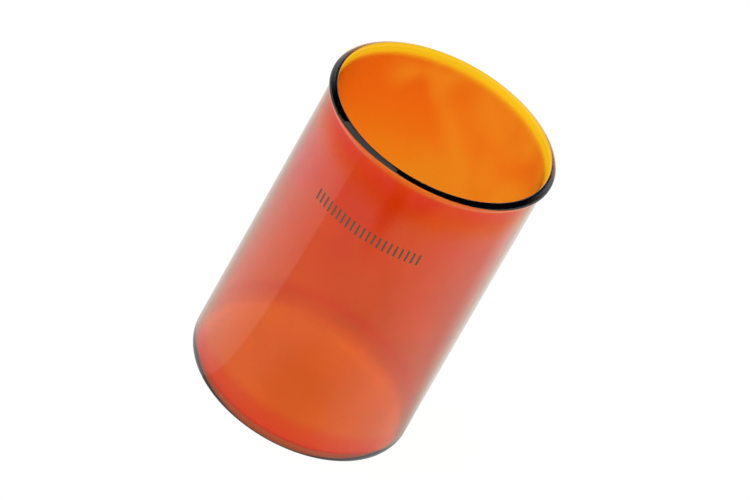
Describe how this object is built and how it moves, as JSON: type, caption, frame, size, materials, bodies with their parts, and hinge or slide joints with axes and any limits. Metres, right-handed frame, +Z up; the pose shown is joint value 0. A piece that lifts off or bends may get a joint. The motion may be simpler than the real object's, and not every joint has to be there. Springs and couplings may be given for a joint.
{
  "type": "amber glass laboratory beaker",
  "caption": "Straight-walled amber glass beaker with no spout, a mouth rolled out into a smooth lip and a closed base, for holding liquids that light would spoil.",
  "frame": {"origin": "centre of the standing face, on the vessel's axis", "axes": "+Z up along the vessel's axis, out of its mouth; the printed mark faces -Y"},
  "size_m": [0.0624, 0.0624, 0.092],
  "materials": {
    "amber_glass": "gloss",
    "fired_ink": "matt"
  },
  "bodies": {
    "root": {"glass_beaker": "amber_glass", "printed_mark": "fired_ink"}
  },
  "joints": []
}
